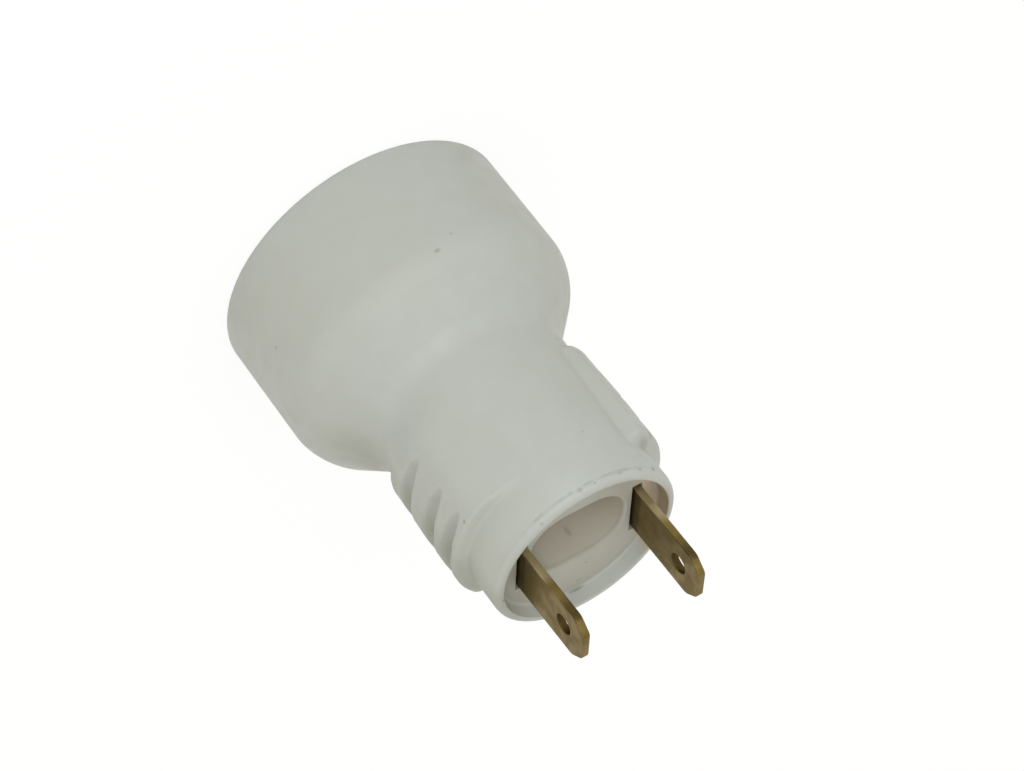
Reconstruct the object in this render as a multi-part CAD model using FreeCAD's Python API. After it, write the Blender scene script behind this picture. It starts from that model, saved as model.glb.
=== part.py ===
"""Plug-in lamp holder for a small screw-cap lamp.

A moulded bell shrouds the glass of the lamp. Its neck holds a rolled screw
shell and a sprung centre contact, and two flat push-on tabs stand out of the
round nose at the other end.

Frame: the mouth of the bell lies flat on z = 0 with its centre at the origin,
+Z runs along the axis to the tabs, and the tabs are side by side along X.
All sizes are in millimetres.
"""
import FreeCAD, Part

import math
import os

from FreeCAD import Vector

# ---- housing, outside -------------------------------------------------------
BELL_R = 15.95            # outside of the bell
BELL_STRAIGHT = 14.1      # mouth to where the bell and the cone would meet
BELL_WALL = 2.0           # wall of the bell and of the cone
MOUTH_BEVEL = 0.4         # bevel of the mouth's outer edge
CONE_ANGLE = 42.5         # cone's slope from the axis, degrees
SHOULDER_ROUND = 4.8      # rounding between the bell and the cone
NECK_R = 10.65            # outside of the neck where it meets the cone
NECK_ROUND = 3.8          # hollow rounding between the cone and the neck
NOSE_R = 10.25            # outside of the straight nose beyond the grips
NOSE_START = 37.4         # height at which the tapered neck turns straight
HOUSING_LEN = 41.0        # mouth to the rim of the nose
RIM_ROUND = 1.0           # size of the rim's outer edge, eased in two bevels
RIM_INNER_BEVEL = 0.2     # bevel of the rim's inner edge

# ---- finger grips on the two narrow sides of the neck -----------------------
GRIP_R = 11.5             # outside of a grip pad
GRIP_FOOT_Y = 8.2         # pad's half width at its foot, square to the tabs' spacing
GRIP_TOP_Y = 7.0          # pad's half width at the top of its sloping sides
GRIP_START = 22.3         # height at which the pads rise
GRIP_RISE = 1.2           # length of the slope on which they rise
GRIP_END = 36.3           # height at which they slope down again
GROOVE_HEIGHTS = (26.7, 31.0, 34.1)
GROOVE_RADII = (1.35, 1.2, 1.2)
GROOVE_FLOOR_R = 10.35    # how near to the axis the grooves are cut

# ---- recess in the nose -----------------------------------------------------
RECESS_R = 9.0
RECESS_DEPTH = 1.9
POCKET_LEN = 11.0         # pocket between the tabs, along their spacing
POCKET_WIDTH = 8.4
POCKET_DEPTH = 4.8        # below the floor of the recess
POCKET_CORNER = 3.2
WEB = 2.5                 # partition between the pocket and the socket

# ---- tabs -------------------------------------------------------------------
TAB_WIDTH = 6.3
TAB_THICK = 0.8
TAB_SPACING = 13.1        # centre to centre
TAB_PROUD = 9.05          # how far the tips stand beyond the rim
TAB_TIP_WIDTH = 3.7
TAB_TIP_TAPER = 1.55
TAB_HOLE_R = 0.95
TAB_HOLE_FROM_TIP = 3.2
TAB_BEVEL = 0.15          # coined bevel round the tip
TAB_TAIL = 2.8            # how far a terminal reaches into the socket
SLOT_SIDE_GAP = 0.15      # slot beyond each broad face of its tab
SLOT_END_GAP = 0.6        # slot beyond each edge of its tab

# ---- socket -----------------------------------------------------------------
SHEET = 0.3               # screw shell's sheet
SHELL_R = 7.0             # shell's inside, which takes a 14 mm lamp screw
SHELL_GAP = 0.15          # shell to the bore
SHELL_LIP_R = 8.6         # flared lip on the collar's end
SHELL_FLANGE_R = 5.6      # hole in the shell's inner end
COLLAR_WALL = 2.1         # collar round the shell, inside the bell
COLLAR_START = 15.0       # height of the collar's end face
TONGUE_WIDTH = 4.0        # shell's tongue, welded to its terminal
TONGUE_OVERLAP = 2.3

# ---- insulating washer ------------------------------------------------------
WASHER_THICK = 0.95
WASHER_HOLE_R = 4.7
WASHER_SIDE_GAP = 0.1
WASHER_SEAT = 0.45        # width of the ledge on which it seats
WASHER_TO_TAILS = 0.2     # washer to the ends of the terminals
STACK_GAP = 0.05          # between pieces stacked along the axis
NOTCH_GAP = 0.3           # washer's notch round the shell's tongue

# ---- centre contact ---------------------------------------------------------
LEAF_THICK = 0.35
LEAF_WIDTH = 4.0
LEAF_TOP_GAP = 0.4        # leg's end to the partition
LEAF_GAP = 0.05           # leg to its terminal
LEAF_BEND = 0.9           # inside radius of the bend
LEAF_OVER_WASHER = 0.9    # bend's corner above the washer
LEAF_DROP = 1.75          # from the bend down to the middle of the arm
LEAF_FLAT = 1.6           # half length of the flat middle
LEAF_TIP_REACH = 1.3      # turned-up end beyond the flat
LEAF_TIP_RISE = 0.8
DIMPLE_R = 1.2            # pressed cone that meets the lamp
DIMPLE_TIP_R = 0.6
DIMPLE_DEPTH = 0.35

# ---- heights that follow from the sizes above -------------------------------
Z = Vector(0, 0, 1)
FLOOR_Z = HOUSING_LEN - RECESS_DEPTH
POCKET_Z = FLOOR_Z - POCKET_DEPTH
WEB_Z = POCKET_Z - WEB
TAIL_Z = WEB_Z - TAB_TAIL
TIP_Z = HOUSING_LEN + TAB_PROUD
TAB_X = TAB_SPACING / 2
TAB_INNER_X = TAB_X - TAB_THICK / 2
TAB_OUTER_X = TAB_X + TAB_THICK / 2
BORE_R = SHELL_R + SHEET + SHELL_GAP
COLLAR_R = BORE_R + COLLAR_WALL
WASHER_TOP = TAIL_Z - WASHER_TO_TAILS
WASHER_BOTTOM = WASHER_TOP - WASHER_THICK
FLANGE_TOP = WASHER_BOTTOM - STACK_GAP
LEAF_Z = WASHER_TOP + LEAF_OVER_WASHER
LEAF_ARM_Z = LEAF_Z - LEAF_DROP


def arc_through(start, corner, end, radius):
    """First, middle and last point of the arc that rounds a corner."""
    into = (corner - start).normalize()
    away = (end - corner).normalize()
    half_turn = into.getAngle(away) / 2
    reach = radius * math.tan(half_turn)
    first = corner - into * reach
    last = corner + away * reach
    inward = (away - into).normalize()
    middle = corner + inward * (radius / math.cos(half_turn) - radius)
    return first, middle, last


def rounded_profile(points, rounds):
    """Closed face in the XZ plane from corners, each with its own rounding."""
    edges = []
    count = len(points)
    joints = []
    for index, (corner, radius) in enumerate(zip(points, rounds)):
        if radius:
            before = points[index - 1]
            after = points[(index + 1) % count]
            joints.append(arc_through(before, corner, after, radius))
        else:
            joints.append((corner, None, corner))
    for index, (first, middle, last) in enumerate(joints):
        if middle is not None:
            edges.append(Part.Arc(first, middle, last).toShape())
        following = joints[(index + 1) % count][0]
        if last.distanceToPoint(following) > 1e-6:
            edges.append(Part.LineSegment(last, following).toShape())
    return Part.Face(Part.Wire(edges))


def turned(corners):
    """Solid of revolution about Z from (radius, height, rounding) corners."""
    points = [Vector(radius, 0, height) for radius, height, _ in corners]
    face = rounded_profile(points, [rounding for _, _, rounding in corners])
    return face.revolve(Vector(0, 0, 0), Z, 360)


def upright_box(half_x, half_y, low_z, high_z):
    """Box centred on the axis."""
    corner = Vector(-half_x, -half_y, low_z)
    return Part.makeBox(2 * half_x, 2 * half_y, high_z - low_z, corner)


def cone_height(radius, start_radius, start_height):
    """Height at which the cone has shrunk to a radius."""
    return start_height + (start_radius - radius) / math.tan(math.radians(CONE_ANGLE))


# ---- housing ----------------------------------------------------------------
def housing_outside():
    neck_start = cone_height(NECK_R, BELL_R, BELL_STRAIGHT)
    bevel_mid = RIM_ROUND * (1 - math.sqrt(0.5))
    return turned([
        (0, 0, 0),
        (BELL_R - MOUTH_BEVEL, 0, 0),
        (BELL_R, MOUTH_BEVEL, 0),
        (BELL_R, BELL_STRAIGHT, SHOULDER_ROUND),
        (NECK_R, neck_start, NECK_ROUND),
        (NOSE_R, NOSE_START, 0),
        (NOSE_R, HOUSING_LEN - RIM_ROUND, 0),
        (NOSE_R - bevel_mid, HOUSING_LEN - bevel_mid, 0),
        (NOSE_R - RIM_ROUND, HOUSING_LEN, 0),
        (0, HOUSING_LEN, 0),
    ])


def grip_pads():
    """The two raised pads with sloping ends and sides, grooved for the fingers."""
    ring = turned([
        (0, GRIP_START, 0),
        (NOSE_R, GRIP_START, 0),
        (GRIP_R, GRIP_START + GRIP_RISE, 0),
        (GRIP_R, GRIP_END, 0),
        (NOSE_R, NOSE_START, 0),
        (0, NOSE_START, 0),
    ])
    foot_x = math.sqrt(NECK_R ** 2 - GRIP_FOOT_Y ** 2)
    top_x = math.sqrt(GRIP_R ** 2 - GRIP_TOP_Y ** 2)
    slope = (GRIP_FOOT_Y - GRIP_TOP_Y) / (top_x - foot_x)
    far_y = GRIP_FOOT_Y - slope * (GRIP_R - foot_x)
    quarter = [(GRIP_R, far_y), (foot_x, GRIP_FOOT_Y)]
    upper = quarter + [(-x, y) for x, y in reversed(quarter)]
    plan = upper + [(-x, -y) for x, y in upper]
    points = [Vector(x, y, GRIP_START) for x, y in plan]
    block = Part.Face(Part.makePolygon(points + points[:1])).extrude(Z * (NOSE_START - GRIP_START))
    pads = ring.common(block)
    for groove_z, radius in zip(GROOVE_HEIGHTS, GROOVE_RADII):
        for side in (-1, 1):
            start = Vector(side * (GROOVE_FLOOR_R + radius), -GRIP_R, groove_z)
            pads = pads.cut(Part.makeCylinder(radius, 2 * GRIP_R, start, Vector(0, 1, 0)))
    return pads


def bell_hollow():
    """Inside of the bell and cone, one wall within the outside."""
    radius = BELL_R - BELL_WALL
    slope = math.radians(CONE_ANGLE)
    start = BELL_STRAIGHT - BELL_WALL * math.tan(slope / 2)
    top = cone_height(COLLAR_R, radius, start)
    hollow = turned([
        (0, 0, 0),
        (radius, 0, 0),
        (radius, start, 0),
        (COLLAR_R, top, 0),
        (0, top, 0),
    ])
    collar = Part.makeCylinder(COLLAR_R, top - COLLAR_START + 1, Vector(0, 0, COLLAR_START))
    return hollow.cut(collar)


def socket_bore():
    """Bore for the shell, chamber past the washer's ledge, channels for the tails."""
    bore = Part.makeCylinder(BORE_R, WASHER_TOP - COLLAR_START, Vector(0, 0, COLLAR_START))
    chamber = Part.makeCylinder(BORE_R - WASHER_SEAT, WEB_Z - WASHER_TOP, Vector(0, 0, WASHER_TOP))
    channels = upright_box(
        TAB_OUTER_X + SLOT_SIDE_GAP, TAB_WIDTH / 2 + SLOT_SIDE_GAP, COLLAR_START, WEB_Z
    )
    return bore.fuse([chamber, channels])


def recess():
    """Shallow round recess with its rounded lip."""
    return turned([
        (0, FLOOR_Z, 0),
        (RECESS_R, FLOOR_Z, 0),
        (RECESS_R, HOUSING_LEN - RIM_INNER_BEVEL, 0),
        (RECESS_R + RIM_INNER_BEVEL, HOUSING_LEN, 0),
        (0, HOUSING_LEN, 0),
    ])


def pocket():
    """Deep pocket between the two tabs."""
    block = upright_box(POCKET_LEN / 2, POCKET_WIDTH / 2, POCKET_Z, FLOOR_Z)
    uprights = [edge for edge in block.Edges if abs(edge.tangentAt(0).z) > 0.9]
    return block.makeFillet(POCKET_CORNER, uprights)


def tab_slots():
    slot_x = TAB_THICK / 2 + SLOT_SIDE_GAP
    slot_y = TAB_WIDTH / 2 + SLOT_END_GAP
    slots = []
    for side in (-1, 1):
        slot = upright_box(slot_x, slot_y, WEB_Z, FLOOR_Z)
        slot.translate(Vector(side * TAB_X, 0, 0))
        slots.append(slot)
    return slots


def make_housing():
    body = housing_outside().fuse(grip_pads())
    hollows = [bell_hollow(), socket_bore(), recess(), pocket()] + tab_slots()
    return body.cut(hollows).removeSplitter()


# ---- metal ------------------------------------------------------------------
def make_screw_shell():
    """Drawn sleeve: flared lip, plain wall, and a flange with a welding tongue.

    The wall is plain, without the lamp thread that is rolled into it.
    """
    outer_r = SHELL_R + SHEET
    lip_z = COLLAR_START - SHEET - STACK_GAP
    sleeve = turned([
        (SHELL_R, lip_z, 0),
        (SHELL_R, FLANGE_TOP - SHEET, 0),
        (SHELL_FLANGE_R, FLANGE_TOP - SHEET, 0),
        (SHELL_FLANGE_R, FLANGE_TOP, 0),
        (outer_r, FLANGE_TOP, 0),
        (outer_r, lip_z + SHEET, 0),
        (SHELL_LIP_R, lip_z + SHEET, 0),
        (SHELL_LIP_R, lip_z, 0),
    ])
    tongue = Part.makeBox(
        SHEET, TONGUE_WIDTH, TAIL_Z + TONGUE_OVERLAP - FLANGE_TOP + SHEET / 2,
        Vector(-TAB_INNER_X, -TONGUE_WIDTH / 2, FLANGE_TOP - SHEET / 2),
    )
    return sleeve.fuse(tongue)


def make_terminal(side):
    """Flat strip: push-on tab outside, tail inside."""
    half = TAB_WIDTH / 2
    tip_half = TAB_TIP_WIDTH / 2
    inner_x = TAB_X - TAB_THICK / 2
    outline = [
        (-half, TAIL_Z),
        (half, TAIL_Z),
        (half, TIP_Z - TAB_TIP_TAPER),
        (tip_half, TIP_Z),
        (-tip_half, TIP_Z),
        (-half, TIP_Z - TAB_TIP_TAPER),
    ]
    points = [Vector(inner_x, y, z) for y, z in outline]
    strip = Part.Face(Part.makePolygon(points + points[:1])).extrude(Vector(TAB_THICK, 0, 0))
    tip_edges = [
        edge for edge in strip.Edges
        if edge.CenterOfMass.z > TIP_Z - TAB_TIP_TAPER and abs(edge.tangentAt(0).x) < 0.1
    ]
    strip = strip.makeChamfer(TAB_BEVEL, tip_edges)
    hole = Part.makeCylinder(
        TAB_HOLE_R, 3 * TAB_THICK,
        Vector(inner_x - TAB_THICK, 0, TIP_Z - TAB_HOLE_FROM_TIP), Vector(1, 0, 0),
    )
    strip = strip.cut(hole)
    if side < 0:
        strip.rotate(Vector(0, 0, 0), Z, 180)
    return strip


def make_insulating_washer():
    """Ring between the screw shell and the contact chamber."""
    washer = Part.makeCylinder(BORE_R - WASHER_SIDE_GAP, WASHER_THICK, Vector(0, 0, WASHER_BOTTOM))
    hole = Part.makeCylinder(WASHER_HOLE_R, WASHER_THICK, Vector(0, 0, WASHER_BOTTOM))
    notch = Part.makeBox(
        SHEET + 2 * NOTCH_GAP, TONGUE_WIDTH + 2 * NOTCH_GAP, WASHER_THICK,
        Vector(-TAB_INNER_X - NOTCH_GAP, -TONGUE_WIDTH / 2 - NOTCH_GAP, WASHER_BOTTOM),
    )
    return washer.cut([hole, notch])


def bent_strip(path, thick, width, bend):
    """Strip of sheet bent along a path in the XZ plane, centred on y = 0."""
    half = thick / 2
    directions = [(b - a).normalize() for a, b in zip(path, path[1:])]
    normals = [Vector(-d.z, 0, d.x) for d in directions]
    corners = []
    rounds = []
    for side in (1, -1):
        face = []
        for index, point in enumerate(path):
            before = normals[max(index - 1, 0)]
            after = normals[min(index, len(normals) - 1)]
            mitre = (before + after).normalize()
            reach = half / mitre.dot(after)
            turn = before.cross(after).y * side
            radius = 0
            if before.getAngle(after) > 1e-6:
                radius = bend if turn < 0 else bend + thick
            face.append((point + mitre * (reach * side), radius))
        if side < 0:
            face.reverse()
        corners += [corner for corner, _ in face]
        rounds += [radius for _, radius in face]
    outline = rounded_profile(corners, rounds)
    strip = outline.extrude(Vector(0, width, 0))
    strip.translate(Vector(0, -width / 2, 0))
    return strip


def make_centre_contact():
    """Sprung leaf: a leg on its terminal, a bend, and an arm with a dimple."""
    leg_x = TAB_INNER_X - LEAF_GAP - LEAF_THICK / 2
    path = [
        Vector(leg_x, 0, WEB_Z - LEAF_TOP_GAP),
        Vector(leg_x, 0, LEAF_Z),
        Vector(LEAF_FLAT, 0, LEAF_ARM_Z),
        Vector(-LEAF_FLAT, 0, LEAF_ARM_Z),
        Vector(-LEAF_FLAT - LEAF_TIP_REACH, 0, LEAF_ARM_Z + LEAF_TIP_RISE),
    ]
    leaf = bent_strip(path, LEAF_THICK, LEAF_WIDTH, LEAF_BEND)
    under = LEAF_ARM_Z - LEAF_THICK / 2
    dimple = Part.makeCone(DIMPLE_TIP_R, DIMPLE_R, DIMPLE_DEPTH, Vector(0, 0, under - DIMPLE_DEPTH))
    dent = dimple.translated(Z * LEAF_THICK)
    return leaf.fuse(dimple).cut(dent)


NODES = {
    "housing": make_housing,
    "screw_shell": make_screw_shell,
    "insulating_washer": make_insulating_washer,
    "shell_terminal": lambda: make_terminal(-1),
    "centre_terminal": lambda: make_terminal(1),
    "centre_contact": make_centre_contact,
}

os.makedirs("parts", exist_ok=True)
for name, make in NODES.items():
    solid = make()
    solid.exportStep("parts/" + name + ".step")
    print(name, "solids", len(solid.Solids), "volume %.1f" % solid.Volume, "valid", solid.isValid())
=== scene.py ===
# %% [markdown]
# # A plug-in lamp holder
# A moulded white bell covers the glass of a small lamp. Its neck holds a
# threaded metal shell and a sprung contact, and two brass tabs stand out of
# the round nose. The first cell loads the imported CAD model. Every new piece is
# made around it, in metres, so nothing has to be scaled or moved afterwards.

# %% Load the frame
import math

import bmesh
import bpy
from mathutils import Matrix, Vector


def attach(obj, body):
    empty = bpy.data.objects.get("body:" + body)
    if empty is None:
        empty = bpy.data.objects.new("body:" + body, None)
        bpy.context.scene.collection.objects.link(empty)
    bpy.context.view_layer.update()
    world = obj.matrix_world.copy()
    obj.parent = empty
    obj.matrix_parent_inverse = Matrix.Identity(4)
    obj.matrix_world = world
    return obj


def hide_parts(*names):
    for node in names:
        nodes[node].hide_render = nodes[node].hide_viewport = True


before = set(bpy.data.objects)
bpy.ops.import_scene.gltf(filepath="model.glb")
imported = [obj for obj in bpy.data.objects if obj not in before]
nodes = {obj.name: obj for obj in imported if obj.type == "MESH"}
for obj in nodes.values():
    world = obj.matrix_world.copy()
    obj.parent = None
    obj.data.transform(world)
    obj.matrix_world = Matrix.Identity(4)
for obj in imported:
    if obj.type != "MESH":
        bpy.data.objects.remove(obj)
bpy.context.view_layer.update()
MM = 0.001
print("pieces in the frame:", sorted(nodes))

# %% [markdown]
# ## Camera
# A long lens from about 35 cm flattens the view, as when a small part is
# photographed from a step back and zoomed in. The camera looks down at the
# neck, and it is rolled, so that the axis of the holder runs across the frame.

# %% Camera
AIM = Vector((-7.18, 7.05, 16.89)) * MM
DISTANCE = 0.3517
AZIMUTH = math.radians(22.48)
ELEVATION = math.radians(28.73)
ROLL = math.radians(142.11)
SENSOR = 36.0
LENS = 123.05
CLIP_START = 0.01


def aimed(spot, target, roll=0.0):
    """World matrix of something at a spot that looks at the target."""
    turn = (target - spot).to_track_quat("-Z", "Y").to_matrix().to_4x4()
    return Matrix.Translation(spot) @ turn @ Matrix.Rotation(roll, 4, "Z")


def seen_from(azimuth, elevation, distance, target):
    """Point at a distance from target, azimuth 0 being the front."""
    away = Vector((
        math.sin(azimuth) * math.cos(elevation),
        -math.cos(azimuth) * math.cos(elevation),
        math.sin(elevation),
    ))
    return target + away * distance


camera_data = bpy.data.cameras.new("camera")
camera_data.sensor_width = SENSOR
camera_data.lens = LENS
camera_data.clip_start = CLIP_START
camera = bpy.data.objects.new("camera", camera_data)
bpy.context.scene.collection.objects.link(camera)
camera.matrix_world = aimed(seen_from(AZIMUTH, ELEVATION, DISTANCE, AIM), AIM, ROLL)
bpy.context.scene.camera = camera
print("camera at, mm:", [round(c / MM, 1) for c in camera.matrix_world.translation])

# %% [markdown]
# ## Helpers for materials
# Each finish is a small tree of shader nodes. These helpers add a node, set
# its plain values and link its inputs in one call, so that a material reads
# from top to bottom like a recipe.

# %% Node helpers


def feed(tree, slot, value):
    """Links a socket to an input, or sets the input to a plain value."""
    if isinstance(value, bpy.types.NodeSocket):
        tree.links.new(value, slot)
    else:
        slot.default_value = value


def add(tree, kind, inputs=(), **settings):
    """Adds a node with its settings; inputs go by their name or number."""
    node = tree.nodes.new(kind)
    for key, value in settings.items():
        setattr(node, key, value)
    for name, value in dict(inputs).items():
        feed(tree, node.inputs[name], value)
    return node


def maths(tree, operation, *values, clamp=False):
    """Math node on values or sockets."""
    inputs = dict(enumerate(values))
    return add(tree, "ShaderNodeMath", inputs, operation=operation, use_clamp=clamp).outputs[0]


def product(tree, first, *others):
    """Product of several masks."""
    for other in others:
        first = maths(tree, "MULTIPLY", first, other)
    return first


def vectors(tree, operation, *values, output="Vector"):
    """Vector math node on vectors or sockets."""
    inputs = dict(enumerate(values))
    return add(tree, "ShaderNodeVectorMath", inputs, operation=operation).outputs[output]


# A mix node has inputs for numbers, vectors and colours, so its colour inputs
# and its colour output are picked by their numbers.
MIX_FACTOR, MIX_FIRST, MIX_SECOND = 0, 6, 7
MIX_COLOUR = 2


def blend(tree, factor, first, second):
    """Colour mix of first and second by factor."""
    inputs = {MIX_FACTOR: factor, MIX_FIRST: first, MIX_SECOND: second}
    return add(tree, "ShaderNodeMix", inputs, data_type="RGBA").outputs[MIX_COLOUR]


def spread(tree, value, from_low, from_high, to_low=0.0, to_high=1.0):
    """Clamped and eased map of one range to another."""
    return add(tree, "ShaderNodeMapRange", {
        "Value": value, "From Min": from_low, "From Max": from_high,
        "To Min": to_low, "To Max": to_high,
    }, interpolation_type="SMOOTHSTEP").outputs["Result"]


def rise(tree, length, span):
    """0 at the span's first mm, 1 at its second, and eased between."""
    start, end = span
    return spread(tree, length, start * MM, end * MM)


def add_bump(tree, shader, height, strength, distance):
    """Bump on the shader's normal, with its distance in mm."""
    bump = add(tree, "ShaderNodeBump", {
        "Height": height, "Strength": strength, "Distance": distance * MM,
    })
    tree.links.new(bump.outputs["Normal"], shader.inputs["Normal"])


def new_group(name, inputs, outputs):
    """Empty node group with named float and vector sockets."""
    group = bpy.data.node_groups.new(name, "ShaderNodeTree")
    for label, kind, default in inputs:
        socket = group.interface.new_socket(label, in_out="INPUT", socket_type=kind)
        if default is not None:
            socket.default_value = default
    for label, kind in outputs:
        group.interface.new_socket(label, in_out="OUTPUT", socket_type=kind)
    entry = group.nodes.new("NodeGroupInput")
    leave = group.nodes.new("NodeGroupOutput")
    return group, entry.outputs, leave.inputs


FLOAT = "NodeSocketFloat"
VECTOR = "NodeSocketVector"


def place(tree, group, **inputs):
    """Mask of a node group; _ in a keyword stands for a space."""
    named = {key.replace("_", " "): value for key, value in inputs.items()}
    return add(tree, "ShaderNodeGroup", named, node_tree=group).outputs["Mask"]


def new_material(name, **plain):
    """Material with a Principled shader; plain values go on the shader itself."""
    material = bpy.data.materials.new(name)
    material.use_nodes = True
    tree = material.node_tree
    shader = tree.nodes["Principled BSDF"]
    for key, value in plain.items():
        shader.inputs[key.replace("_", " ")].default_value = value
    where = tree.nodes.new("ShaderNodeTexCoord").outputs["Object"]
    return material, tree, shader, where


# %% [markdown]
# ## Effects that several finishes share
# Nothing that has been handled is one even tone. *Mottle* is a soft cloudiness
# a few millimetres across, *specks* are small dirt grains, and *hairlines* are
# fine scratches along one direction. Each is a node group, built once, with its
# size as an input.

# %% Mottle
MOTTLE_SPAN = (0.32, 0.68)


def make_mottle():
    group, given, result = new_group(
        "mottle",
        [("Where", VECTOR, None), ("Size mm", FLOAT, 5.0), ("Detail", FLOAT, 3.0)],
        [("Mask", FLOAT)],
    )
    scale = maths(group, "DIVIDE", 1 / MM, given["Size mm"])
    noise = add(group, "ShaderNodeTexNoise", {
        "Vector": given["Where"], "Scale": scale, "Detail": given["Detail"], "Roughness": 0.55,
    })
    group.links.new(spread(group, noise.outputs["Fac"], *MOTTLE_SPAN), result["Mask"])
    return group


MOTTLE = make_mottle()

# %% Specks
SPECK_EDGE = (0.42, 0.12)


def make_specks():
    group, given, result = new_group(
        "specks",
        [("Where", VECTOR, None), ("Size mm", FLOAT, 0.3), ("Rarity", FLOAT, 0.8)],
        [("Mask", FLOAT)],
    )
    scale = maths(group, "DIVIDE", 1 / MM, given["Size mm"])
    cells = add(group, "ShaderNodeTexVoronoi", {"Vector": given["Where"], "Scale": scale})
    near = spread(group, cells.outputs["Distance"], *SPECK_EDGE)
    chance = add(group, "ShaderNodeSeparateColor", {"Color": cells.outputs["Color"]})
    chosen = maths(group, "GREATER_THAN", chance.outputs["Red"], given["Rarity"])
    group.links.new(maths(group, "MULTIPLY", near, chosen), result["Mask"])
    return group


SPECKS = make_specks()

# %% Hairlines


def make_hairlines():
    group, given, result = new_group(
        "hairlines",
        [("Where", VECTOR, None), ("Stretch", VECTOR, (1, 1, 0.05)), ("Size mm", FLOAT, 0.3)],
        [("Mask", FLOAT)],
    )
    drawn = vectors(group, "MULTIPLY", given["Where"], given["Stretch"])
    scale = maths(group, "DIVIDE", 1 / MM, given["Size mm"])
    noise = add(group, "ShaderNodeTexNoise", {"Vector": drawn, "Scale": scale, "Detail": 4.0})
    group.links.new(noise.outputs["Fac"], result["Mask"])
    return group


HAIRLINES = make_hairlines()
print("shared effects:", [g.name for g in bpy.data.node_groups])

# %% [markdown]
# ## White moulded plastic
# The housing is a satin, slightly greyed white, a little yellower in broad
# patches. The recess is painted with shade, the pocket between the tabs with
# a warm bounced light, and the wall behind the -X tab with a brown reflection
# of its brass. The tone comes from where a point lies: its distance from the
# axis and its height pick out the recess and the pocket, and mottle breaks up
# the rest. One side, and all that is seen edge-on, is darker and
# yellower with painted shade.
#
# The few dark marks are in places: flash on the parting ring of the nose, a
# nick on the bell and a dark spot on the rim. Spots of painted shade sit the
# same way in the far corner of the recess, on the wall beside the +X tab and at
# the end of a grip.
# Each is a soft spot round a point of the piece, so it stays there whichever
# way the piece is seen.

# %% Tones, spans, marks and painted shade of the white plastic
# Tones are linear red, green and blue.
COOL_WHITE = (0.51, 0.53, 0.515, 1)
WARM_WHITE = (0.50, 0.51, 0.475, 1)
FINE_GREY = (0.47, 0.475, 0.44, 1)
# Painted shade with a brown cast in the recess, and painted warm bounce light deep in the
# pocket.
RECESS_SHADE = (0.43, 0.395, 0.32, 1)
POCKET_BOUNCE_LIGHT = (0.60, 0.55, 0.46, 1)
# Painted reflection of the brass tab on the recess wall behind the -X tab.
BRASS_REFLECTION_TONE = (0.62, 0.50, 0.35, 1)
# Painted shade, darker and yellower, where the surface is seen edge-on.
EDGE_ON_SHADE = (0.44, 0.435, 0.335, 1)
# Painted shade on one side, from the shoulder of the bell to the nose.
SIDE_SHADE = (0.25, 0.25, 0.17, 1)
# Dark tone of the specks, the marks and the spots of painted shade.
DIRT_AND_SHADE = (0.13, 0.115, 0.07, 1)

# Strengths are the share of a tone where its effect is full.
FINE_STRENGTH = 0.2
HOLLOW_LIGHT_STRENGTH = 0.8
EDGE_ON_SHADE_STRENGTH = 0.4
SIDE_SHADE_STRENGTH = 0.35
SPECK_STRENGTH = 0.3
FLASH_STRENGTH = 0.22

# Spans are in mm, from where an effect starts to where it is full.
RECESS_RADII = (9.2, 8.9)
RECESS_HEIGHTS = (40.4, 38.6)
NOSE_HEIGHTS = (31.0, 32.0)
POCKET_HEIGHTS = (39.3, 38.6)
FLASH_FROM = (40.0, 40.12)
FLASH_UNTIL = (40.45, 40.25)
FLASH_RADII = (9.7, 9.8)
FLASH_FRONT = (-7.0, -9.0)
# Where the painted brass reflection lies, by radius and by X.
BRASS_REFLECTION_RADII = (9.5, 9.3)
BRASS_REFLECTION_X = (-6.8, -7.6)
SIDE_SHADE_HEIGHTS = (14.0, 19.0)

# The side with painted shade lies along a direction, and the shade fades with
# the cosine of the turn away from it. Facing goes from 0, seen straight on, to 1, seen edge-on.
SHADED_SIDE = (0.92, 0.38, 0)
SHADED_SIDE_TURN = (0.84, 1.0)
FACING_BLEND = 0.3
EDGE_ON = (0.45, 1.0)

# Each mark or spot of painted shade has a centre and a reach along X, Y and Z, in mm, and a
# strength.
MARKS_AND_SHADE = (
    ((-0.2, -15.95, 13.4), (0.5, 1.0, 0.3), 0.35),  # nick on the bell
    ((10.16, -5.38, 35.2), (0.3, 0.3, 0.3), 0.55),  # speck past the +X grip's last groove
    ((9.3, 1.2, 40.9), (0.35, 0.35, 0.35), 0.7),  # dark spot on the rim, on the +X side
    ((8.9, 1.0, 39.8), (1.0, 2.4, 1.2), 0.35),  # painted shade on the wall below it, beside the +X tab
    ((-7.57, -7.0, 40.3), (0.32, 0.32, 0.32), 0.9),  # four spots of flash
    ((-5.78, -8.37, 40.4), (0.5, 0.4, 0.3), 0.3),
    ((-3.6, -9.7, 40.4), (0.7, 0.4, 0.3), 0.3),
    ((1.0, -10.2, 40.4), (0.45, 0.45, 0.35), 0.28),
    ((-1.0, 3.6, 36.3), (0.35, 0.6, 0.85), 0.3),  # smudge on the pocket's wall
    ((-0.2, 9.15, 39.5), (1.3, 0.3, 0.25), 0.55),  # painted shade in the recess's far corner
    ((-0.5, 7.9, 39.35), (0.5, 0.3, 0.3), 0.25),  # speck on the recess's floor
    ((-8.8, -5.8, 36.9), (1.2, 1.4, 0.8), 0.3),  # this and the next: painted shade on the drop at the end of the -X grip and on its last rib
    ((-10.0, -5.6, 35.9), (0.8, 1.1, 0.8), 0.28),
)
MARK_FADE = (1.0, 0.25)

# %% White plastic


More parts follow.
